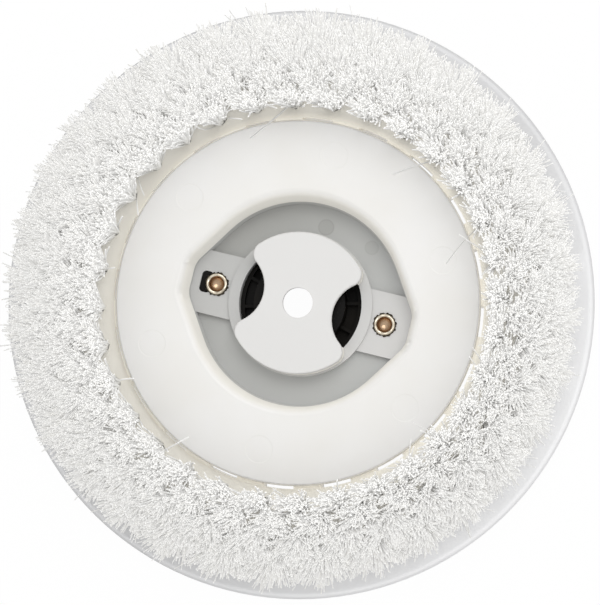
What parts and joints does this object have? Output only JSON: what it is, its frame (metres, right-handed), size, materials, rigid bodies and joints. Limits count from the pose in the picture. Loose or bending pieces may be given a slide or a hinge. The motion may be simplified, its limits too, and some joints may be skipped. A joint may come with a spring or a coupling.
{
  "type": "rotary floor machine brush",
  "caption": "Round scrubbing brush for a rotary floor machine: white moulded block with rings of stiff bristle tufts, and a black drive coupling riveted behind its windowed hub.",
  "frame": {"origin": "on the axis of rotation, at the underside of the drive coupling that the brush rests on when it lies on its back", "axes": "+Z along the axis of rotation towards the bristle tips, +X through the two rivets towards the one in the round hole"},
  "size_m": [0.3048, 0.3048, 0.062],
  "materials": {
    "block_plastic": "natural white moulded polypropylene, semi-matt",
    "coupling_plastic": "black moulded nylon, semi-matt",
    "rivet_metal": "plated tubular rivet, bright rolled rim and a coppery bore",
    "filament": "white translucent polypropylene filament, crimped and cut",
    "anchor_wire": "flat drawn steel wire"
  },
  "bodies": {
    "root": {"brush_block": "block_plastic", "drive_coupling": "coupling_plastic", "rivets": "rivet_metal", "tufts_inner_1": "filament", "tufts_inner_2": "filament", "tufts_inner_3": "filament", "tufts_inner_4": "filament", "tufts_second_1": "filament", "tufts_second_2": "filament", "tufts_second_3": "filament", "tufts_second_4": "filament", "tufts_third_1": "filament", "tufts_third_2": "filament", "tufts_third_3": "filament", "tufts_third_4": "filament", "tufts_outer_1": "filament", "tufts_outer_2": "filament", "tufts_outer_3": "filament", "tufts_outer_4": "filament", "anchors_inner": "anchor_wire", "anchors_second": "anchor_wire", "anchors_third": "anchor_wire", "anchors_outer": "anchor_wire"}
  },
  "joints": []
}
